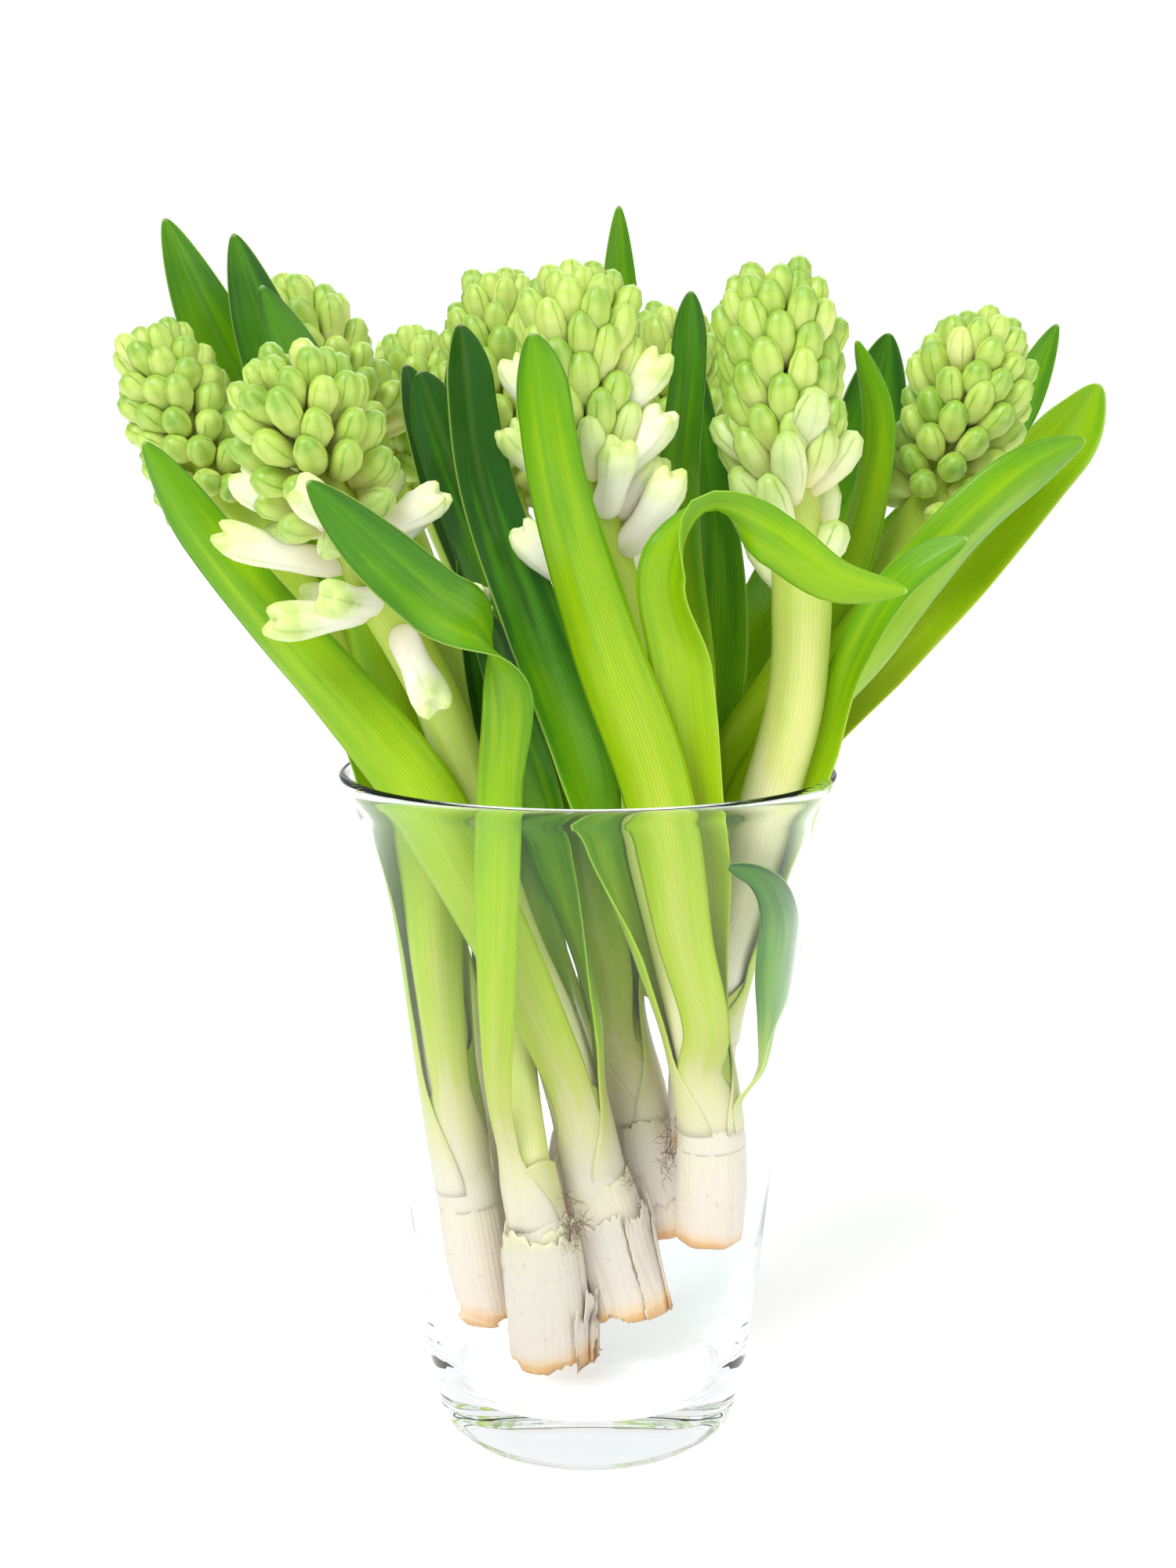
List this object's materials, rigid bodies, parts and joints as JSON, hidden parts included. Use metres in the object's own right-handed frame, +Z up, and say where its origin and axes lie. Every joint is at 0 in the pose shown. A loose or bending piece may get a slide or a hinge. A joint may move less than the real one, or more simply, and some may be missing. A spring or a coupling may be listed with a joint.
{
  "type": "vase of cut hyacinths",
  "caption": "Cut hyacinths with bulb ends, strap leaves and budding flower heads standing in a clear, tapered glass vase with a flared rim.",
  "frame": {"origin": "centre of the vase's flat foot, on the surface it stands on", "axes": "+Z up along the vase's axis, -Y the front of the bunch, +X to the viewer's right"},
  "size_m": [0.305, 0.2076, 0.3811],
  "materials": {
    "vase_glass": "clear, smooth glass",
    "bulb_white": "moist white bulb scales, stands in for plant tissue",
    "floret_green": "waxy pale green buds, stands in for plant tissue",
    "leaf_green": "smooth green blades, stands in for plant tissue"
  },
  "bodies": {
    "root": {"bulb_1": "bulb_white", "bulb_2": "bulb_white", "bulb_3": "bulb_white", "bulb_4": "bulb_white", "bulb_5": "bulb_white", "bulb_6": "bulb_white", "bulb_7": "bulb_white", "bulb_8": "bulb_white", "bulb_9": "bulb_white", "flower_1": "floret_green", "flower_2": "floret_green", "flower_3": "floret_green", "flower_4": "floret_green", "flower_5": "floret_green", "flower_6": "floret_green", "flower_7": "floret_green", "flower_8": "floret_green", "flower_9": "floret_green", "leaf_1_1": "leaf_green", "leaf_1_2": "leaf_green", "leaf_1_3": "leaf_green", "leaf_2_1": "leaf_green", "leaf_3_1": "leaf_green", "leaf_3_2": "leaf_green", "leaf_3_3": "leaf_green", "leaf_4_1": "leaf_green", "leaf_4_2": "leaf_green", "leaf_4_3": "leaf_green", "leaf_5_1": "leaf_green", "leaf_5_2": "leaf_green", "leaf_5_3": "leaf_green", "leaf_5_4": "leaf_green", "leaf_6_1": "leaf_green", "leaf_7_1": "leaf_green", "leaf_7_2": "leaf_green", "leaf_8_1": "leaf_green", "leaf_8_2": "leaf_green", "leaf_9_1": "leaf_green", "leaf_9_2": "leaf_green", "leaf_9_3": "leaf_green", "leaf_9_4": "leaf_green", "leaf_9_5": "leaf_green", "vase": "vase_glass"}
  },
  "joints": []
}
